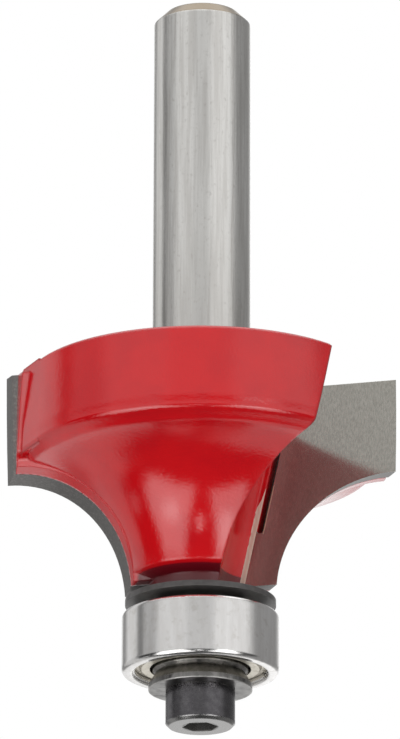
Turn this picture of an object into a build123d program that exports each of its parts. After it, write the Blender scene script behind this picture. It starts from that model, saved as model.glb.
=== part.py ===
"""Round-over router bit: two brazed carbide tips on a winged steel head, guided by a ball bearing.

The bit stands on its cap screw, shank up. Z is the axis of rotation and z = 0 is the
screw's end face. Sizes are in millimetres.
"""
import os
from math import cos, hypot, radians, sin, sqrt, tan

from build123d import *

# Cutting profile
cutting_diameter = 31.8
cutting_length = 18.0
profile_radius = 9.5
flutes = 2

# Shank and overall length
shank_diameter = 8.0
overall_length = 61.25
shank_end_chamfer = 0.95

# Guide bearing, 3/16 by 1/2 inch
bearing_bore = 4.762
bearing_diameter = 12.7
bearing_width = 4.978
ball_diameter = 2.381
ball_pitch_diameter = 8.731
ball_count = 7
race_conformity = 0.525
race_clearance = 0.012
ring_corner = 0.4
bore_corner = 0.25
inner_shoulder_diameter = 7.7
outer_shoulder_diameter = 10.2

# Bearing shields and their snap wires
shield_seat_depth = 0.87
shield_seat_diameter = 10.9
shield_sheet = 0.25
shield_joggle = 0.2
shield_joggle_diameter = 9.9
shield_bore = 8.15
shield_gap = 0.02
seat_chamfer = 0.08
wire_width = 0.3
wire_thickness = 0.34
wire_groove_diameter = 11.24
wire_opening = 26.0

# Ribbon cage
cage_sheet = 0.2
cage_inner_diameter = 8.0
cage_outer_diameter = 9.5
pocket_clearance = 0.05

# Clamp stack below the head
screw_thread = 3.0
screw_length = 10.0
screw_head_diameter = 5.6
screw_head_height = 3.0
screw_hex = 2.5
screw_hex_depth = 1.6
screw_face_chamfer = 0.25
screw_hole_clearance = 0.01
washer_diameter = 8.36
washer_height = 1.35
washer_top_diameter = 7.3
washer_rim = 0.45
washer_bore = 3.2
shield_hub_height = 0.72
shield_hub_diameter = 6.9
dust_disc_diameter = 12.2
dust_disc_thickness = 0.45

# Head
head_band_diameter = 28.8
head_cove_radius = 11.0
head_cove_out = 0.7
head_cove_down = 0.5
head_band_round = 1.15
head_rim_chamfer = 0.2
head_below_top = 0.2
neck_diameter = 8.5
neck_height = 1.25
neck_undercut = 0.65
neck_edge_round = 0.2
shank_root_fillet = 0.5
spigot_clearance = 0.01
spigot_short = 0.35
spigot_chamfer = 0.3
tap_depth = 9.6
drill_point = 118.0

# Tips and their seats
hook_angle = 7.4
shear_angle = 13.3
runout_angle = 8.0
tip_thickness = 2.0
tip_height_over_bearing = 2.02
tip_width = 10.7
wing_root_width = 13.0
flank_inward = 0.54
flank_upward = 0.36
top_relief = 0.2
land_width = 1.75
land_foot_width = 0.9
land_rise = 0.65
blend_rise = 0.35
blend_azimuth = 32.0
blend_length = 7.0
blend_over_corner = 1.2
slot_width = 0.56
slot_depth = 1.2
slot_low = 5.05

# Gullets
floor_radius = 4.77
floor_centre = (8.4, -1.77)
heel_wall_angle = 43.3
heel_outer_y = -10.15
heel_round = 1.0

# Heights of the stack
washer_base = screw_head_height
bearing_base = washer_base + washer_height
bearing_top = bearing_base + bearing_width
bearing_mid = bearing_base + bearing_width / 2
disc_base = bearing_top + shield_hub_height
head_base = disc_base + dust_disc_thickness
tip_base = bearing_top + tip_height_over_bearing
tip_top = tip_base + cutting_length
corner_z = tip_base + profile_radius
head_top = tip_top - head_below_top

cutting_radius = cutting_diameter / 2
margin = 5.0
full_turn = 360.0
hex_sides = 6
cove_mid_angle = 45.0
near = 0.01

hook = radians(hook_angle)
shear = radians(shear_angle)
runout = radians(runout_angle)

# The face of tip 1: its origin is where the straight edge meets the cove, its y axis climbs
# the tip and its normal points the way the tip cuts.
rake_plane = Plane(
    origin=(cutting_radius, 0, corner_z),
    x_dir=(cos(hook), -sin(hook), 0),
    z_dir=(-sin(hook) * cos(shear), -cos(hook) * cos(shear), sin(shear)),
)
mill_path = rake_plane.y_dir * cos(runout) + rake_plane.x_dir * sin(runout)
mill_step = mill_path / mill_path.Z


def at(vertex, x, y):
    return hypot(vertex.X - x, vertex.Y - y) < near


def ring(r_in, r_out, z_low, z_high):
    """Plain ring between two radii and two heights."""
    section = Pos((r_in + r_out) / 2, (z_low + z_high) / 2) * Rectangle(r_out - r_in, z_high - z_low)
    return revolve(Plane.XZ * section, Axis.Z)


def turned(outline):
    """Solid of revolution of a closed (r, z) outline."""
    return revolve(Plane.XZ * make_face(outline), Axis.Z)


def envelope():
    """Space swept by the cutting edges, carried on past the top of the tips."""
    foot = cutting_radius - profile_radius
    slope = radians(cove_mid_angle)
    mid = (cutting_radius - profile_radius * cos(slope), tip_base + profile_radius * sin(slope))
    ceiling = tip_top + margin
    outline = Curve() + [
        Line((0, tip_base), (foot, tip_base)),
        ThreePointArc((foot, tip_base), mid, (cutting_radius, corner_z)),
        Polyline((cutting_radius, corner_z), (cutting_radius, ceiling), (0, ceiling), (0, tip_base)),
    ]
    return turned(outline)


def outboard(front, width):
    """Everything outboard of a line that far inside the corner, on a plane parallel to the rake face."""
    reach = cutting_length
    lean = reach * tan(runout)
    corners = [(-width - lean, -reach), (margin, -reach), (margin, reach), (-width + lean, reach)]
    return rake_plane.offset(front) * make_face(Polyline(*corners, close=True))


def tooth_section(depth, width):
    """Outline of the tooth on a plane this far behind the rake face."""
    back = rake_plane.x_dir * -(flank_inward * depth)
    back += rake_plane.y_dir * (flank_upward * depth)
    back -= rake_plane.z_dir * depth
    profile = Pos(*back) * (outboard(0, width + margin) & envelope()).face()
    below = Cylinder(cutting_diameter, overall_length, align=(Align.CENTER, Align.CENTER, Align.MAX))
    below = Pos(0, 0, tip_top - top_relief * depth) * below
    return (profile & outboard(-depth, width) & below).face()


def relieved(front, back, width):
    """The tooth between two depths behind the rake face."""
    return loft([tooth_section(depth, width) for depth in (front, back)], ruled=True)


def carbide_tip():
    return relieved(0, tip_thickness, tip_width) - clearance_slot()


def behind_land():
    """Everything behind the step that ends the land, which is narrower at its foot."""
    high = rake_plane.from_local_coords((0, cutting_length - profile_radius, -tip_thickness - land_width))
    low = rake_plane.from_local_coords((0, -profile_radius, -tip_thickness - land_foot_width))
    size = 2 * cutting_diameter
    block = Box(size, size, size, align=(Align.CENTER, Align.CENTER, Align.MIN))
    return Plane(origin=high, z_dir=(high - low).cross(rake_plane.x_dir)) * block


def rising_above_band(rise):
    """Cylinder that stands this far proud of the head's band, above the corner of the tips."""
    low = corner_z + blend_over_corner
    radius = head_band_diameter / 2 + rise
    return Pos(0, 0, low) * Cylinder(radius, head_top - low, align=(Align.CENTER, Align.CENTER, Align.MIN))


def tooth_land():
    """Steel behind a tip: a land flush with its flank, a step, and a slope that runs out in the band."""
    deepest = tip_thickness + 2 * land_width
    land = relieved(tip_thickness / 2, deepest, wing_root_width) - behind_land()
    land &= Cylinder(head_band_diameter / 2 + land_rise, 2 * tip_top)
    band = head_band_diameter / 2
    slope = Box(blend_length, blend_length, 2 * tip_top, align=(Align.MAX, Align.MAX, Align.CENTER))
    slope = Rot(0, 0, blend_azimuth) * Pos(band, 0) * slope
    return land + (slope & rising_above_band(blend_rise))


def head_outline():
    """Half section of the head, neck and shank, before the gullets are milled."""
    band = head_band_diameter / 2
    neck = neck_diameter / 2
    shank = shank_diameter / 2
    neck_top = head_base + neck_height
    centre_r = cutting_radius + head_cove_out
    centre_z = tip_base - head_cove_down
    cove_low = neck_top + neck_undercut
    cove_foot = centre_r - sqrt(head_cove_radius ** 2 - (cove_low - centre_z) ** 2)
    cove_high = centre_z + sqrt(head_cove_radius ** 2 - (centre_r - band) ** 2)
    slope = radians(cove_mid_angle)
    cove_mid = (centre_r - head_cove_radius * cos(slope), centre_z + head_cove_radius * sin(slope))
    outline = Curve() + [
        Polyline((0, head_base), (neck, head_base), (neck, neck_top), (cove_foot, cove_low)),
        ThreePointArc((cove_foot, cove_low), cove_mid, (band, cove_high)),
        Polyline((band, cove_high), (band, head_top), (shank, head_top), (shank, overall_length)),
        Polyline((shank, overall_length), (0, overall_length), (0, head_base)),
    ]
    section = make_face(outline)
    section = fillet(section.vertices().filter_by(lambda v: at(v, cove_foot, cove_low)), neck_edge_round)
    section = fillet(section.vertices().filter_by(lambda v: at(v, band, cove_high)), head_band_round)
    section = chamfer(section.vertices().filter_by(lambda v: at(v, band, head_top)), head_rim_chamfer)
    section = fillet(section.vertices().filter_by(lambda v: at(v, shank, head_top)), shank_root_fillet)
    return chamfer(section.vertices().filter_by(lambda v: at(v, shank, overall_length)), shank_end_chamfer)


def gullet():
    """Chip space of wing 1, as the cutter that mills it leaves it, swept along the rake face."""
    centre = Vector(*floor_centre)
    corner = Vector(cutting_radius, 0)
    inward = Vector(-cos(hook), sin(hook))
    along = (centre - corner).dot(inward)
    off_line = (centre - corner - inward * along).length
    root = corner + inward * (along + sqrt(floor_radius ** 2 - off_line ** 2))
    wall = radians(heel_wall_angle)
    floor_end = centre - Vector(cos(wall), sin(wall)) * floor_radius
    floor_mid = centre - Vector(floor_radius, 0)
    down_wall = Vector(sin(wall), -cos(wall))
    heel = floor_end + down_wall * ((floor_end.Y - heel_outer_y) / cos(wall))
    outside = cutting_diameter
    outline = Curve() + [
        Line(corner - inward * outside, root),
        ThreePointArc(root, floor_mid, floor_end),
        Polyline(floor_end, heel, (outside, heel_outer_y), corner - inward * outside),
    ]
    section = make_face(outline)
    section = fillet(section.vertices().filter_by(lambda v: at(v, heel.X, heel.Y)), heel_round)
    start = head_base - neck_height - corner_z
    length = head_top + margin / 2 - head_base + neck_height
    placed = Pos(*(mill_step * start)) * Pos(0, 0, corner_z) * section
    return extrude(placed, amount=mill_step.length * length, dir=mill_step)


def clearance_slot():
    """Round-ended slot along the inner edge of a tip, milled into the tip and its seat alike."""
    mouth = margin / 2
    length = 2 * cutting_length
    centre_y = length / 2 - slot_low
    centre_x = slot_width / 2 - tip_width + centre_y * tan(runout)
    slot = SlotOverall(length, slot_width, rotation=90 - runout_angle)
    slot = rake_plane.offset(mouth) * Pos(centre_x, centre_y) * slot
    return extrude(slot, amount=-(mouth + slot_depth))


def tip_seat():
    """Pocket that a tip is brazed into, with the slot beside it."""
    mouth = margin / 2
    pocket = extrude(outboard(mouth, tip_width), amount=-(mouth + tip_thickness))
    return pocket + clearance_slot()


def around(shape):
    """The shape on each wing."""
    return [Rot(0, 0, full_turn / flutes * k) * shape for k in range(flutes)]


def cutter_body():
    blank = revolve(Plane.XZ * head_outline(), Axis.Z)
    blank += around(tooth_land())
    blank -= around(gullet())
    blank -= around(tip_seat())
    spigot_radius = bearing_bore / 2 - spigot_clearance
    spigot_low = bearing_base + spigot_short
    spigot = Cylinder(spigot_radius, head_base - spigot_low, align=(Align.CENTER, Align.CENTER, Align.MIN))
    spigot = chamfer(spigot.edges().group_by(Axis.Z)[0], spigot_chamfer)
    blank += Pos(0, 0, spigot_low) * spigot
    return blank - tapped_hole(spigot_low)


def tapped_hole(mouth):
    radius = screw_thread / 2 + screw_hole_clearance
    point = radius / tan(radians(drill_point / 2))
    bottom = mouth + tap_depth
    return turned(Polyline((0, mouth), (radius, mouth), (radius, bottom), (0, bottom + point), close=True))


def bearing_outer_ring():
    half = bearing_width / 2
    rim = bearing_diameter / 2
    bore = outer_shoulder_diameter / 2
    seat = shield_seat_diameter / 2
    groove = wire_groove_diameter / 2
    seat_z = half - shield_seat_depth
    wire_low = seat_z + shield_gap + shield_sheet + shield_gap
    wire_high = wire_low + wire_thickness + shield_gap
    quarter = [
        (bore, 0), (bore, seat_z), (seat, seat_z), (seat, wire_low), (groove, wire_low),
        (groove, wire_high), (seat, wire_high), (seat, half), (rim, half), (rim, 0),
    ]
    section = make_face(Polyline(*quarter, close=True))
    section = fillet(section.vertices().filter_by(lambda v: at(v, rim, half)), ring_corner)
    section = chamfer(section.vertices().filter_by(lambda v: at(v, seat, half)), seat_chamfer)
    section += mirror(section, Plane.XZ)
    race = ball_diameter * race_conformity
    race_centre = ball_pitch_diameter / 2 + ball_diameter / 2 + race_clearance - race
    section -= Pos(race_centre, 0) * Circle(race)
    return Pos(0, 0, bearing_mid) * revolve(Plane.XZ * section, Axis.Z)


def bearing_inner_ring():
    bore = bearing_bore / 2
    shoulder = inner_shoulder_diameter / 2
    section = Pos((bore + shoulder) / 2, 0) * Rectangle(shoulder - bore, bearing_width)
    section = chamfer(section.vertices(), bore_corner)
    race = ball_diameter * race_conformity
    race_centre = ball_pitch_diameter / 2 - ball_diameter / 2 - race_clearance + race
    section -= Pos(race_centre, 0) * Circle(race)
    return Pos(0, 0, bearing_mid) * revolve(Plane.XZ * section, Axis.Z)


def ball_place(k):
    angle = radians(full_turn / ball_count * k)
    return Pos(ball_pitch_diameter / 2 * cos(angle), ball_pitch_diameter / 2 * sin(angle), bearing_mid)


def pocket(k, radius):
    """Round bar that lies across the ribbon over ball k."""
    bar = Rot(0, 0, full_turn / ball_count * k) * Rot(0, 90, 0) * Cylinder(radius, ball_diameter)
    return ball_place(k) * bar


def cage_half():
    """Upper half of the ribbon: flat between the balls and arched over each of them."""
    inner = cage_inner_diameter / 2
    outer = cage_outer_diameter / 2
    clear = ball_diameter / 2 + pocket_clearance
    band = ring(inner, outer, bearing_mid, bearing_mid + ball_diameter)
    arches = [band & pocket(k, clear + cage_sheet) for k in range(ball_count)]
    flat = ring(inner, outer, bearing_mid, bearing_mid + cage_sheet)
    return (flat + arches) - [pocket(k, clear) for k in range(ball_count)]


def bearing_shield():
    """Upper shield: a flat rim on the ring's step and a web joggled outward."""
    rim = shield_seat_diameter / 2 - shield_gap
    joggle = shield_joggle_diameter / 2
    bore = shield_bore / 2
    low = bearing_width / 2 - shield_seat_depth + shield_gap
    raised = low + shield_joggle
    outline = Polyline(
        (rim, low), (rim, low + shield_sheet), (joggle, low + shield_sheet),
        (joggle - shield_joggle, raised + shield_sheet), (bore, raised + shield_sheet), (bore, raised),
        (joggle - shield_joggle, raised), (joggle, low), close=True,
    )
    return Pos(0, 0, bearing_mid) * turned(outline)


def snap_wire():
    """Upper snap wire: flat wire sprung into the groove, with its ends apart."""
    outer = wire_groove_diameter / 2 - shield_gap / 2
    low = bearing_width / 2 - shield_seat_depth + 2 * shield_gap + shield_sheet + shield_gap / 2
    section = Pos(outer - wire_width / 2, low + wire_thickness / 2) * Rectangle(wire_width, wire_thickness)
    wire = revolve(Plane.XZ * section, Axis.Z, revolution_arc=full_turn - wire_opening)
    return Pos(0, 0, bearing_mid) * wire


def lower(shape):
    """The upper piece turned over to the lower side of the bearing."""
    return Pos(0, 0, bearing_mid) * Rot(180, 0, 0) * Pos(0, 0, -bearing_mid) * shape


def dust_shield():
    bore = bearing_bore / 2
    hub = ring(bore, shield_hub_diameter / 2, bearing_top, disc_base)
    disc = ring(bore, dust_disc_diameter / 2, disc_base, head_base)
    return hub + disc


def clamp_washer():
    rim = washer_diameter / 2
    top = washer_top_diameter / 2
    base = washer_base
    outline = Curve() + [
        Polyline((washer_bore / 2, base), (rim, base), (rim, base + washer_rim)),
        Polyline((rim, base + washer_rim), (top, bearing_base), (washer_bore / 2, bearing_base)),
        Line((washer_bore / 2, bearing_base), (washer_bore / 2, base)),
    ]
    return turned(outline)


def cap_screw():
    upright = (Align.CENTER, Align.CENTER, Align.MIN)
    head = Cylinder(screw_head_diameter / 2, screw_head_height, align=upright)
    head = chamfer(head.edges().group_by(Axis.Z)[0], screw_face_chamfer)
    head -= extrude(RegularPolygon(screw_hex / 2, hex_sides, major_radius=False), amount=screw_hex_depth)
    point = screw_hex / 2 / tan(radians(drill_point / 2))
    bottom = screw_hex_depth + point
    head -= turned(Polyline((0, screw_hex_depth), (screw_hex / 2, screw_hex_depth), (0, bottom), close=True))
    thread = Cylinder(screw_thread / 2, screw_length, align=upright)
    thread = chamfer(thread.edges().group_by(Axis.Z)[-1], screw_face_chamfer)
    return head + Pos(0, 0, screw_head_height) * thread


def pieces():
    """Every piece by name."""
    made = {
        "cutter_body": cutter_body(),
        "dust_shield": dust_shield(),
        "bearing_outer_ring": bearing_outer_ring(),
        "bearing_inner_ring": bearing_inner_ring(),
        "cage_upper": cage_half(),
        "cage_lower": lower(cage_half()),
        "bearing_shield_upper": bearing_shield(),
        "bearing_shield_lower": lower(bearing_shield()),
        "snap_wire_upper": snap_wire(),
        "snap_wire_lower": lower(snap_wire()),
        "clamp_washer": clamp_washer(),
        "cap_screw": cap_screw(),
    }
    for k, tip in enumerate(around(carbide_tip()), start=1):
        made[f"carbide_tip_{k}"] = tip
    for k in range(ball_count):
        made[f"ball_{k + 1}"] = ball_place(k) * Sphere(ball_diameter / 2)
    return made


if __name__ == "__main__":
    os.makedirs("parts", exist_ok=True)
    for name, piece in pieces().items():
        export_step(piece, f"parts/{name}.step")
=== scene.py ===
import bpy
import math
from mathutils import Matrix, Vector

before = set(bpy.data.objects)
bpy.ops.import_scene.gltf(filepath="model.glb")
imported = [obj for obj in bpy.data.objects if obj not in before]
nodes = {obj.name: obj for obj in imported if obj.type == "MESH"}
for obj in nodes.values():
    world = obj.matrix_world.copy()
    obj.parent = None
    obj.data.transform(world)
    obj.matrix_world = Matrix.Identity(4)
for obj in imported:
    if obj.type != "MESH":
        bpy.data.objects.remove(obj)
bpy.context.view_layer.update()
print("frame loaded:", len(nodes), "pieces")

# lengths are in millimetres and angles in degrees, up to the line that hands them to Blender
mm = 0.001  # one millimetre, in Blender's metres


# helpers for node trees: put() adds a node, the others mostly return a socket

def feed(tree, node, inputs):
    for name, value in inputs.items():
        socket = node.inputs[name]
        if isinstance(value, bpy.types.NodeSocket):
            tree.links.new(value, socket)
        else:
            socket.default_value = value


def put(tree, kind, inputs=None, **settings):
    node = tree.nodes.new(kind)
    for name, value in settings.items():
        setattr(node, name, value)
    feed(tree, node, inputs or {})
    return node


def calc(tree, operation, a, b=0.0, c=0.0):
    return put(tree, "ShaderNodeMath", {0: a, 1: b, 2: c}, operation=operation).outputs[0]


def plus(tree, a, b):
    return calc(tree, "ADD", a, b)


def minus(tree, a, b):
    return calc(tree, "SUBTRACT", a, b)


def times(tree, a, b):
    return calc(tree, "MULTIPLY", a, b)


def larger(tree, a, b):
    return calc(tree, "MAXIMUM", a, b)


def distance(tree, value):
    return calc(tree, "ABSOLUTE", value)


def dot(tree, a, b):
    return put(tree, "ShaderNodeVectorMath", {0: a, 1: b}, operation="DOT_PRODUCT").outputs["Value"]


def ramp(tree, value, low, high, start=0.0, end=1.0):
    # eased step from start to end as value goes from low to high
    step = put(
        tree, "ShaderNodeMapRange",
        {"Value": value, "From Min": low, "From Max": high, "To Min": start, "To Max": end},
        interpolation_type="SMOOTHSTEP",
    )
    return step.outputs["Result"]


def fall(tree, value, low, high):
    return ramp(tree, value, low, high, 1.0, 0.0)


def window(tree, value, low, high, soft):
    # 1 between low and high, 0 outside
    rises = ramp(tree, value, low - soft, low + soft)
    return times(tree, rises, fall(tree, value, high - soft, high + soft))


def scaled(tree, coords, scale):
    return put(tree, "ShaderNodeMapping", {"Vector": coords, "Scale": scale}).outputs["Vector"]


def noise(tree, coords, scale, detail=2.0, roughness=0.5):
    # a scale for each axis draws the noise out into streaks or rings
    if isinstance(scale, tuple):
        coords, scale = scaled(tree, coords, scale), 1.0
    inputs = {"Vector": coords, "Scale": scale, "Detail": detail, "Roughness": roughness}
    return put(tree, "ShaderNodeTexNoise", inputs).outputs["Fac"]


def mixValue(tree, factor, a, b):
    return calc(tree, "MULTIPLY_ADD", factor, minus(tree, b, a), a)


def mixColour(tree, factor, a, b):
    return put(tree, "ShaderNodeMix", {0: factor, 6: a, 7: b}, data_type="RGBA").outputs[2]


def mixNormal(tree, factor, a, b):
    return put(tree, "ShaderNodeMix", {0: factor, 4: a, 5: b}, data_type="VECTOR").outputs[1]


def bump(tree, height, depth, normal, strength=1.0):
    inputs = {"Height": height, "Distance": depth * mm, "Strength": strength, "Normal": normal}
    return put(tree, "ShaderNodeBump", inputs).outputs["Normal"]


def facing(tree):
    return put(tree, "ShaderNodeNewGeometry").outputs["Normal"]


def softEdges(tree, radius):
    # shading normal with the edges eased over this radius
    return put(tree, "ShaderNodeBevel", {"Radius": radius * mm}, samples=6).outputs["Normal"]


def wornEdges(tree, eased, low, high):
    # 1 where an edge bends the eased normal away from the face's own
    return ramp(tree, minus(tree, 1.0, dot(tree, eased, facing(tree))), low, high)


def polar(tree, point):
    # radius from the axis, and height
    flat = put(tree, "ShaderNodeVectorMath", {0: scaled(tree, point, (1, 1, 0))}, operation="LENGTH")
    return flat.outputs["Value"], put(tree, "ShaderNodeSeparateXYZ", {0: point}).outputs["Z"]


def newMaterial(name):
    # the last thing returned is the place on the piece, in millimetres
    material = bpy.data.materials.new(name)
    material.use_nodes = True
    tree = material.node_tree
    coords = put(tree, "ShaderNodeTexCoord").outputs["Object"]
    return material, tree, tree.nodes["Principled BSDF"], scaled(tree, coords, (1 / mm, 1 / mm, 1 / mm))


def finish(material, pieces):
    for name in pieces:
        mesh = nodes[name].data
        mesh.materials.clear()
        mesh.materials.append(material)


def rgb(red, green, blue):
    return (red, green, blue, 1.0)


# where the tips stand, as the corner of the cutting edge and the way the rake face is turned
tipPlace = {
    "cornerX": 15.9,
    "cornerZ": 20.848,
    "hook": 7.4,
    "shear": 13.3,
    "runout": 8.0,
    "width": 10.7,
}
wings = (1, -1)  # the second wing is the first one turned half round


def onRakePlane(tree, point, side):
    # distance in front of a tip's rake face, and distance outboard of the tip's inner edge
    hook, shear, runout = (math.radians(tipPlace[name]) for name in ("hook", "shear", "runout"))
    across = math.cos(shear)
    normal = Vector((-math.sin(hook) * across, -math.cos(hook) * across, math.sin(shear)))
    outward = Vector((math.cos(hook), -math.sin(hook), 0))
    lean = outward - normal.cross(outward) * math.tan(runout)
    corner = Vector((tipPlace["cornerX"], 0, tipPlace["cornerZ"]))
    innerEdge = lean.dot(corner) - tipPlace["width"]
    depth = dot(tree, point, (side * normal.x, side * normal.y, normal.z))
    reach = dot(tree, point, (side * lean.x, side * lean.y, lean.z))
    return minus(tree, depth, normal.dot(corner)), minus(tree, reach, innerEdge)


# cutter body: red stoved enamel on the head, ground steel on the shank, brazed steel on the ledges.
# A pair of numbers is where a change begins and ends, or the least and the most of a value.
bodyFinish = {
    "enamel": {
        "red": rgb(0.62, 0.004, 0.008),
        "redThick": rgb(0.56, 0.003, 0.008),  # deeper, where the enamel lies thick
        "redPaintedShade": rgb(0.15, 0.002, 0.008),  # painted shade: darker red in under the foot of the head, where the undercut lies in shade
        "thickness": {"scale": 0.3},
        "thickFrom": (0.35, 0.7),
        "roughness": 0.10,
        "footRoughness": 0.3,
        "footHeight": (12.15, 12.3),
        "footRadius": (5.2, 5.5),
        "ior": 1.68,
        "easedEdge": 0.28,
        "peel": {"scale": 4.4, "detail": 3, "roughness": 0.6},
        "peelDepth": 0.016,
        "swell": {"scale": 0.8, "detail": 1},
        "swellDepth": 0.007,
        "bandRadius": (13.2, 13.5),
        "bead": (21.6, 22.6),  # heights over which the enamel gathers at the band's lower edge
        "beadDepth": 0.45,
        "sag": (22.5, 23.7),  # heights over which it sags down to that edge
        "sagDepth": 0.12,
        "upright": (0.6, 0.8),  # lean at which bead and sag stop, short of the head's top face
    },
    "shank": {
        "steel": rgb(0.66, 0.645, 0.62),
        "bright": rgb(0.80, 0.79, 0.765),
        # darker steel, for random spots and for the painted shade down the shank
        "oilAndShade": rgb(0.50, 0.48, 0.45),
        "burnt": rgb(0.24, 0.19, 0.13),
        "roughness": (0.16, 0.30),
        "streaks": {"scale": (2.4, 2.4, 0.1), "detail": 4, "roughness": 0.6},
        "streakDepth": 0.012,
        "brightFrom": (0.35, 0.65),
        "rings": {"scale": (0.5, 0.5, 24)},
        "ringDepth": 0.003,
        "grain": {"scale": (7, 7, 2.5), "detail": 3, "roughness": 0.7},
        "grainDepth": 0.0025,
        "mottle": {"scale": 2.2, "detail": 4, "roughness": 0.7},
        "spotsFrom": (0.27, 0.45),
        "spotDepth": 0.5,
        "shadeHeight": (46, 30),  # painted shade: the steel darkens down the shank
        "shadeDepth": 0.35,
        "burntHeight": (60.25, 60.33),
        "enamelTop": (29.348, 29.648),  # heights between which the enamel's ragged edge runs
        "enamelWave": {"scale": 1.6, "detail": 3},
        "enamelFade": 0.06,
    },
    "ledge": {
        "colour": rgb(0.72, 0.58, 0.47),
        "roughness": 0.55,
        "heights": (18.0, 20.0),
        "widths": (0.44, 0.04),  # at those heights
        "wave": {"scale": 1.6},
        "waveBy": (-0.1, 0.1),
        "edge": 0.02,
        "offPlane": (0.02, 0.05),
        "top": (20.0, 20.3),
    },
}


def ledgeMask(tree, point, side, height):
    # bare strip inboard of a tip, whose wavy edge closes in on the tip towards the top
    look = bodyFinish["ledge"]
    inFront, outboard = onRakePlane(tree, point, side)
    wave = noise(tree, scaled(tree, point, (0, 0, 1)), **look["wave"])
    width = ramp(tree, height, *look["heights"], *look["widths"])
    width = plus(tree, width, mixValue(tree, wave, *look["waveBy"]))
    strip = ramp(tree, plus(tree, outboard, width), -look["edge"], look["edge"])
    onPlane = fall(tree, distance(tree, inFront), *look["offPlane"])
    return times(tree, times(tree, onPlane, strip), fall(tree, height, *look["top"]))


def shankColour(tree, point, height, streak, grain):
    look = bodyFinish["shank"]
    tint = mixColour(tree, ramp(tree, streak, *look["brightFrom"]), look["steel"], look["bright"])
    # painted shade: the shank darkens towards the head; the spots after it are random marks in the same
    # darker colour
    shadeDownShank = ramp(tree, height, *look["shadeHeight"], 0.0, look["shadeDepth"])
    tint = mixColour(tree, shadeDownShank, tint, look["oilAndShade"])
    mottle = times(tree, noise(tree, point, **look["mottle"]), grain)
    spots = ramp(tree, mottle, *look["spotsFrom"], 0.0, look["spotDepth"])
    tint = mixColour(tree, spots, tint, look["oilAndShade"])
    return mixColour(tree, ramp(tree, height, *look["burntHeight"]), tint, look["burnt"])


def shankNormal(tree, point, streak, grain, eased):
    look = bodyFinish["shank"]
    normal = bump(tree, streak, look["streakDepth"], eased)
    normal = bump(tree, noise(tree, point, **look["rings"]), look["ringDepth"], normal)
    return bump(tree, grain, look["grainDepth"], normal)


def enamelNormal(tree, point, radius, height, eased):
    look = bodyFinish["enamel"]
    onBand = ramp(tree, radius, *look["bandRadius"])
    upright = fall(tree, dot(tree, facing(tree), (0, 0, 1)), *look["upright"])
    sag = times(tree, ramp(tree, height, *look["sag"]), onBand)
    bead = times(tree, ramp(tree, height, *look["bead"]), onBand)
    normal = bump(tree, noise(tree, point, **look["swell"]), look["swellDepth"], eased)
    normal = bump(tree, sag, look["sagDepth"], normal, upright)
    normal = bump(tree, bead, look["beadDepth"], normal, upright)
    return bump(tree, noise(tree, point, **look["peel"]), look["peelDepth"], normal)


def makeBodyFinish():
    enamel, shank, ledge = bodyFinish["enamel"], bodyFinish["shank"], bodyFinish["ledge"]
    material, tree, shader, point = newMaterial("headEnamelAndShankSteel")
    radius, height = polar(tree, point)
    enamelTop = mixValue(tree, noise(tree, point, **shank["enamelWave"]), *shank["enamelTop"])
    onShank = ramp(tree, minus(tree, height, enamelTop), 0.0, shank["enamelFade"])
    onLedge = larger(tree, *[ledgeMask(tree, point, side, height) for side in wings])
    bare = larger(tree, onShank, onLedge)
    streak = noise(tree, point, **shank["streaks"])
    grain = noise(tree, point, **shank["grain"])
    steel = mixColour(tree, onLedge, shankColour(tree, point, height, streak, grain), ledge["colour"])
    steelRough = mixValue(tree, onLedge, mixValue(tree, streak, *shank["roughness"]), ledge["roughness"])
    thick = ramp(tree, noise(tree, point, **enamel["thickness"]), *enamel["thickFrom"])
    # painted shade: the enamel in under the head's foot is darkened, and the same mask also makes it
    # rougher
    underHead = fall(tree, height, *enamel["footHeight"])
    foot = times(tree, underHead, fall(tree, radius, *enamel["footRadius"]))
    red = mixColour(tree, thick, enamel["red"], enamel["redThick"])
    red = mixColour(tree, foot, red, enamel["redPaintedShade"])
    redRough = mixValue(tree, foot, enamel["roughness"], enamel["footRoughness"])
    eased = softEdges(tree, enamel["easedEdge"])
    redNormal = enamelNormal(tree, point, radius, height, eased)
    steelNormal = shankNormal(tree, point, streak, grain, eased)
    feed(tree, shader, {
        "Base Color": mixColour(tree, bare, red, steel),
        "Metallic": onShank,
        "Roughness": mixValue(tree, bare, redRough, steelRough),
        "IOR": enamel["ior"],
        "Normal": mixNormal(tree, bare, redNormal, steelNormal),
    })
    finish(material, ["cutter_body"])


# tips: cemented carbide, the rake face lapped finer than the flanks, braze showing along the slot
tipFinish = {
    "face": rgb(0.34, 0.33, 0.295),
    "faceLight": rgb(0.48, 0.465, 0.42),
    "faceLightFrom": (0.3, 0.7),
    "faceMetal": 0.78,
    "faceRoughness": (0.08, 0.16),
    "faceDistance": (0.02, 0.03),
    "faceInboard": (-1.0, -0.9),
    "flank": rgb(0.13, 0.125, 0.12),
    "flankLight": rgb(0.24, 0.23, 0.22),
    "flankLightFrom": (0.4, 0.75),
    "flankMetal": 0.75,
    "flankRoughness": (0.32, 0.52),
    "spots": {"scale": 5.0, "detail": 4, "roughness": 0.7},
    "grain": {"scale": (11, 11, 0.6), "detail": 4, "roughness": 0.65},
    "scratches": {"scale": (16, 16, 0.8), "detail": 3},
    "scratchDepth": 0.0022,
    "easedEdge": 0.04,
    "braze": rgb(0.55, 0.38, 0.28),
    "brazeMetal": 0.0,
    "brazeLine": (0.56, 0.65),  # from the tip's inner edge
    "brazeLineSoft": 0.02,
    "brazeHeight": (16.1, 20.4),
    "brazeHeightSoft": 0.1,
    "wingFrom": (0.5, 1.0),  # from the axis
}


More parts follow.
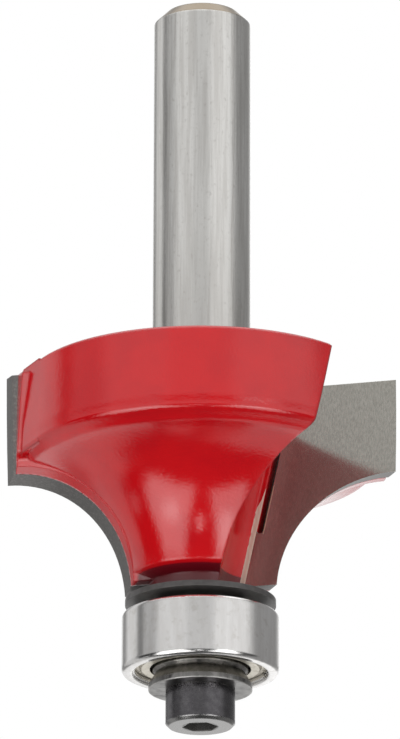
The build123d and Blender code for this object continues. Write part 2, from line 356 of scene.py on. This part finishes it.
def makeTipFinish():
    look = tipFinish
    material, tree, shader, point = newMaterial("groundCarbide")
    height = polar(tree, point)[1]
    faces = []
    lines = []
    for side in wings:
        inFront, outboard = onRakePlane(tree, point, side)
        inPlane = fall(tree, distance(tree, inFront), *look["faceDistance"])
        faces.append(times(tree, inPlane, ramp(tree, outboard, *look["faceInboard"])))
        line = window(tree, outboard, *look["brazeLine"], look["brazeLineSoft"])
        ownWing = ramp(tree, dot(tree, point, (side, 0, 0)), *look["wingFrom"])
        lines.append(times(tree, line, ownWing))
    face = larger(tree, *faces)
    upTheSlot = window(tree, height, *look["brazeHeight"], look["brazeHeightSoft"])
    braze = times(tree, larger(tree, *lines), upTheSlot)
    grain = noise(tree, point, **look["grain"])
    spots = noise(tree, point, **look["spots"])
    scratches = noise(tree, point, **look["scratches"])
    light = ramp(tree, spots, *look["flankLightFrom"])
    flankColour = mixColour(tree, light, look["flank"], look["flankLight"])
    light = ramp(tree, grain, *look["faceLightFrom"])
    faceColour = mixColour(tree, light, look["face"], look["faceLight"])
    faceColour = mixColour(tree, braze, faceColour, look["braze"])
    faceMetal = mixValue(tree, braze, look["faceMetal"], look["brazeMetal"])
    faceRough = mixValue(tree, grain, *look["faceRoughness"])
    flankRough = mixValue(tree, spots, *look["flankRoughness"])
    feed(tree, shader, {
        "Base Color": mixColour(tree, face, flankColour, faceColour),
        "Metallic": mixValue(tree, face, look["flankMetal"], faceMetal),
        "Roughness": mixValue(tree, face, flankRough, faceRough),
        "Normal": bump(tree, scratches, look["scratchDepth"], softEdges(tree, look["easedEdge"])),
    })
    finish(material, ["carbide_tip_1", "carbide_tip_2"])


makeBodyFinish()
makeTipFinish()
print("cutter body and tips finished")

# turned steel has rings round the axis, streaks along it, and edges worn bright
turnedMarks = {
    "streaks": {"scale": (1.6, 1.6, 0.2), "detail": 4, "roughness": 0.6},
    "ringStretch": 0.02,  # the rings' scale across the axis, as a share of the one along it
    "blotches": {"scale": 1.3, "detail": 4, "roughness": 0.65},
    "tintFrom": (0.3, 0.7),
    "stainFrom": (0.5, 0.75),
    "wearFrom": (0.01, 0.08),
    "wearBlotches": (0.3, 0.5),
    "wearLeast": 0.4,
    "wornRougher": 0.16,
}


def makeTurnedSteel(name, look, pieces):
    marks = turnedMarks
    material, tree, shader, point = newMaterial(name)
    across = look["ringsPerMm"] * marks["ringStretch"]
    rings = noise(tree, point, (across, across, look["ringsPerMm"]))
    streak = noise(tree, point, **marks["streaks"])
    blotch = noise(tree, point, **marks["blotches"])
    eased = softEdges(tree, look["easedEdge"])
    uneven = ramp(tree, blotch, *marks["wearBlotches"], marks["wearLeast"], 1.0)
    worn = times(tree, wornEdges(tree, eased, *marks["wearFrom"]), uneven)
    colour = mixColour(tree, ramp(tree, streak, *marks["tintFrom"]), look["colour"], look["tint"])
    colour = mixColour(tree, ramp(tree, blotch, *marks["stainFrom"]), colour, look["stain"])
    rough = mixValue(tree, blotch, *look["roughness"])
    feed(tree, shader, {
        "Base Color": mixColour(tree, worn, colour, look["worn"]),
        "Metallic": look["metallic"],
        "Roughness": plus(tree, rough, times(tree, worn, marks["wornRougher"])),
        "Normal": bump(tree, rings, look["ringDepth"], eased),
    })
    finish(material, pieces)


bearingLook = {
    "colour": rgb(0.75, 0.735, 0.72),
    "tint": rgb(0.83, 0.82, 0.81),
    "stain": rgb(0.70, 0.68, 0.655),
    "worn": rgb(0.82, 0.81, 0.79),
    "metallic": 1.0,
    "roughness": (0.12, 0.24),
    "ringsPerMm": 16,
    "ringDepth": 0.0016,
    "easedEdge": 0.24,
}
# painted shade: the inner ring's steel is made near black, for the shade between the shield and the
# washer
shadedInnerRingLook = {
    "colour": rgb(0.16, 0.15, 0.14),
    "tint": rgb(0.28, 0.27, 0.25),
    "stain": rgb(0.09, 0.085, 0.08),
    "worn": rgb(0.45, 0.44, 0.42),
    "metallic": 1.0,
    "roughness": (0.23, 0.35),
    "ringsPerMm": 12,
    "ringDepth": 0.002,
    "easedEdge": 0.1,
}
ballLook = {
    "colour": rgb(0.68, 0.68, 0.68),
    "tint": rgb(0.75, 0.75, 0.75),
    "stain": rgb(0.66, 0.65, 0.63),
    "worn": rgb(0.75, 0.75, 0.75),
    "metallic": 1.0,
    "roughness": (0.07, 0.19),
    "ringsPerMm": 3,
    "ringDepth": 0.001,
    "easedEdge": 0.02,
}
zincLook = {
    "colour": rgb(0.74, 0.69, 0.58),
    "tint": rgb(0.84, 0.79, 0.68),
    "stain": rgb(0.50, 0.46, 0.36),
    "worn": rgb(0.70, 0.67, 0.60),
    "metallic": 0.6,
    "roughness": (0.29, 0.41),
    "ringsPerMm": 8,
    "ringDepth": 0.003,
    "easedEdge": 0.08,
}
washerLook = {
    "colour": rgb(0.14, 0.135, 0.13),
    "tint": rgb(0.27, 0.265, 0.255),
    "stain": rgb(0.075, 0.07, 0.07),
    "worn": rgb(0.66, 0.65, 0.63),
    "metallic": 1.0,
    "roughness": (0.25, 0.37),
    "ringsPerMm": 10,
    "ringDepth": 0.002,
    "easedEdge": 0.2,
}

zincPieces = ["bearing_shield_upper", "bearing_shield_lower", "cage_upper", "cage_lower"]
makeTurnedSteel("groundBearingSteel", bearingLook, ["bearing_outer_ring"])
makeTurnedSteel("snapWireSteel", bearingLook, ["snap_wire_upper", "snap_wire_lower"])
# painted shade on the inner ring
makeTurnedSteel("innerRingSteelPaintedShade", shadedInnerRingLook, ["bearing_inner_ring"])
makeTurnedSteel("polishedBalls", ballLook, [name for name in nodes if name.startswith("ball_")])
makeTurnedSteel("zincShieldSteel", zincLook, zincPieces)
makeTurnedSteel("oiledWasherSteel", washerLook, ["clamp_washer"])
print("bearing and washer finished")

# blackened steel is a dark gritty oxide, thin or worn away on the edges
oxideMarks = {
    "blotches": {"scale": 1.8, "detail": 4, "roughness": 0.65},
    "tintFrom": (0.35, 0.7),
    "grit": {"scale": 9.0, "detail": 3, "roughness": 0.6},
    "gritDepth": 0.004,
    "wearFrom": (0.01, 0.1),
}


def makeBlackSteel(name, look, pieces):
    # returns what a piece with more than one look goes on from
    marks = oxideMarks
    material, tree, shader, point = newMaterial(name)
    grit = noise(tree, point, **marks["grit"])
    eased = softEdges(tree, look["easedEdge"])
    tinted = ramp(tree, noise(tree, point, **marks["blotches"]), *marks["tintFrom"])
    colour = mixColour(tree, tinted, look["colour"], look["tint"])
    colour = mixColour(tree, wornEdges(tree, eased, *marks["wearFrom"]), colour, look["worn"])
    feed(tree, shader, {
        "Base Color": colour,
        "Metallic": look["metallic"],
        "Roughness": mixValue(tree, grit, *look["roughness"]),
        "Normal": bump(tree, grit, marks["gritDepth"], eased),
    })
    finish(material, pieces)
    return tree, shader, point, colour


dustShieldLook = {
    "colour": rgb(0.062, 0.058, 0.057),
    "tint": rgb(0.09, 0.085, 0.082),
    "worn": rgb(0.14, 0.135, 0.13),
    "metallic": 0.0,
    "roughness": (0.26, 0.44),
    "easedEdge": 0.06,
}
screwLook = {
    "colour": rgb(0.105, 0.10, 0.107),
    "tint": rgb(0.145, 0.14, 0.147),
    "worn": rgb(0.55, 0.545, 0.54),
    "metallic": 1.0,
    "roughness": (0.18, 0.36),
    "easedEdge": 0.16,
    "face": rgb(0.29, 0.285, 0.28),
    "faceHeight": (0.2, 0.3),
    "socket": rgb(0.11, 0.105, 0.10),
    "socketMetal": 0.4,
    "socketRadius": (1.46, 1.49),
    "socketHeight": (1.7, 1.8),
}


def makeScrewFinish():
    # the head's face is ground brighter than the oxide, and the socket is duller
    look = screwLook
    tree, shader, point, colour = makeBlackSteel("screwOxide", look, ["cap_screw"])
    radius, height = polar(tree, point)
    colour = mixColour(tree, fall(tree, height, *look["faceHeight"]), colour, look["face"])
    inHead = fall(tree, height, *look["socketHeight"])
    socket = times(tree, fall(tree, radius, *look["socketRadius"]), inHead)
    feed(tree, shader, {
        "Base Color": mixColour(tree, socket, colour, look["socket"]),
        "Metallic": mixValue(tree, socket, look["metallic"], look["socketMetal"]),
    })


makeBlackSteel("phosphatedShield", dustShieldLook, ["dust_shield"])
makeScrewFinish()
print("dust shield and screw finished")

# floor that the camera alone sees, and only from above, so the bit can be looked at from below it
floorLook = {
    "colour": rgb(0.82, 0.82, 0.815),
    "roughness": 0.9,
    "size": 3000,
    "drop": 0.02,  # how far it lies under the bit, so that no two faces coincide
}


def makeFloor():
    half = floorLook["size"] * mm / 2
    corners = [(-half, -half, 0), (half, -half, 0), (half, half, 0), (-half, half, 0)]
    mesh = bpy.data.meshes.new("floor")
    mesh.from_pydata(corners, [], [(0, 1, 2, 3)])
    floor = bpy.data.objects.new("floor", mesh)
    bpy.context.scene.collection.objects.link(floor)
    floor.location.z = -floorLook["drop"] * mm
    material, tree, shader = newMaterial("floorPaper")[:3]
    feed(tree, shader, {"Base Color": floorLook["colour"], "Roughness": floorLook["roughness"]})
    fromBelow = put(tree, "ShaderNodeNewGeometry").outputs["Backfacing"]
    byCamera = put(tree, "ShaderNodeLightPath").outputs["Is Camera Ray"]
    hidden = larger(tree, fromBelow, minus(tree, 1.0, byCamera))
    clear = put(tree, "ShaderNodeBsdfTransparent").outputs[0]
    surface = put(tree, "ShaderNodeMixShader", {0: hidden, 1: shader.outputs[0], 2: clear})
    tree.links.new(surface.outputs[0], tree.nodes["Material Output"].inputs["Surface"])
    mesh.materials.append(material)


makeFloor()
print("floor laid")

# camera below the bit, looking up at it
camera = {
    "away": 471.99,
    "height": -127.88,
    "turn": 7.67,
    "pitch": 18.518,
    "roll": 0.174,
    "lens": 296.64,
    "sensor": 36.0,
    "shift": -0.00178,  # as a share of the picture's width
    "clip": (10, 20000),
}


def makeCamera():
    data = bpy.data.cameras.new("camera")
    data.sensor_width = camera["sensor"]
    data.lens = camera["lens"]
    data.shift_x = camera["shift"]
    data.clip_start, data.clip_end = (reach * mm for reach in camera["clip"])
    body = bpy.data.objects.new("camera", data)
    bpy.context.scene.collection.objects.link(body)
    turn = math.radians(camera["turn"])
    away = camera["away"] * mm
    body.location = (away * math.sin(turn), -away * math.cos(turn), camera["height"] * mm)
    body.rotation_euler = (
        Matrix.Rotation(turn, 3, "Z")
        @ Matrix.Rotation(math.radians(90 + camera["pitch"]), 3, "X")
        @ Matrix.Rotation(math.radians(camera["roll"]), 3, "Z")
    ).to_euler()
    bpy.context.scene.camera = body


makeCamera()
bpy.context.scene.view_settings.view_transform = "Standard"
print("camera placed")

# the studio, as a world of lit panels. "turn" is where a panel begins and ends, in degrees round
# to the right of the camera, and "rise" in degrees over the horizon; "turnTop" is its turn at the
# top where it is wider or narrower there. A later panel covers the ones before it.
studio = {
    "strength": 1.2,
    "surround": 0.45,
    "panels": {
        "ceiling": {"turn": (-200, 200), "rise": (50, 95), "soft": 20, "level": 1.3},
        "left wall, far": {"turn": (-134, -108), "rise": (3, 40), "soft": 7, "level": 0.62},
        "left wall, near": {"turn": (-92, -66), "rise": (3, 40), "soft": 7, "level": 0.38},
        "left sheet's edge": {"turn": (-105, -93), "rise": (3, 40), "soft": 6, "level": 0.14},
        "left sheet": {"turn": (-66, -19), "rise": (2, 34), "soft": 9, "level": 0.62},
        "front": {"turn": (-19, 20), "rise": (2, 34), "soft": 9, "level": 0.52},
        "right sheet": {"turn": (20, 76), "rise": (2, 34), "soft": 9, "level": 0.72},
        "right wall": {"turn": (84, 150), "rise": (-60, 50), "soft": 8, "level": 0.24},
        "floor below": {"turn": (-200, 200), "rise": (-95, -56), "soft": 8, "level": 0.05},
        "right bounce": {"turn": (125, 185), "rise": (-74, -50), "soft": 8, "level": 0.55},
        "left wall, low": {"turn": (-165, -98), "rise": (-52, 3), "soft": 9, "level": 0.52},
        "dark stand": {
            "turn": (-115, -60), "turnTop": (-99, -60), "rise": (-58, 3), "soft": 5, "level": 0.02,
        },
        "gap in the stand": {"turn": (-102, -93), "rise": (-38, -25), "soft": 5, "level": 0.60},
        "low front": {"turn": (-64, 90), "rise": (-60, 2), "soft": 3, "level": 0.06},
        "left softbox": {
            "turn": (-86, -11), "turnTop": (-61, -24), "rise": (-60, -2), "soft": 4, "level": 1.55,
        },
        "left softbox, core": {"turn": (-56, -32), "rise": (-45, -29), "soft": 16, "level": 3.0},
        "right softbox": {
            "turn": (15, 71), "turnTop": (25, 52), "rise": (-56, 1), "soft": 4, "level": 1.4,
        },
        "right softbox, core": {"turn": (28, 48), "rise": (-36, -6), "soft": 14, "level": 2.8},
        "small lamp": {"turn": (-6, 3), "rise": (-32, -25), "soft": 4, "level": 3.2},
        "backdrop, right": {"turn": (160, 200), "rise": (-46, 34), "soft": 6, "level": 0.95},
        "backdrop, left": {"turn": (-200, -160), "rise": (-46, 34), "soft": 6, "level": 0.75},
        "dark gap behind": {"turn": (-158, -142), "rise": (-30, 34), "soft": 6, "level": 0.22},
    },
}


def panelMask(tree, azimuth, rise, panel):
    soft = panel["soft"] / 2
    edges = []
    for foot, head in zip(panel["turn"], panel.get("turnTop", panel["turn"])):
        edges.append(foot if foot == head else ramp(tree, rise, *panel["rise"], foot, head))
    past = ramp(tree, minus(tree, azimuth, edges[0]), -soft, soft)
    before = fall(tree, minus(tree, azimuth, edges[1]), -soft, soft)
    return times(tree, times(tree, past, before), window(tree, rise, *panel["rise"], soft))


def makeWorld():
    world = bpy.data.worlds.new("studio")
    bpy.context.scene.world = world
    world.use_nodes = True
    tree = world.node_tree
    way = put(tree, "ShaderNodeTexCoord").outputs["Generated"]
    turn = math.radians(camera["turn"])
    perRadian = math.degrees(1)
    right = dot(tree, way, (math.cos(turn), math.sin(turn), 0))
    toCamera = dot(tree, way, (math.sin(turn), -math.cos(turn), 0))
    azimuth = times(tree, calc(tree, "ARCTAN2", right, toCamera), perRadian)
    rise = times(tree, calc(tree, "ARCSINE", dot(tree, way, (0, 0, 1))), perRadian)
    level = studio["surround"]
    for panel in studio["panels"].values():
        level = mixValue(tree, panelMask(tree, azimuth, rise, panel), level, panel["level"])
    lit = times(tree, level, studio["strength"])
    byCamera = put(tree, "ShaderNodeLightPath").outputs["Is Camera Ray"]  # sees plain white
    feed(tree, tree.nodes["Background"], {
        "Color": rgb(1.0, 1.0, 1.0),
        "Strength": mixValue(tree, byCamera, lit, 1.0),
    })


makeWorld()
print("studio lit")
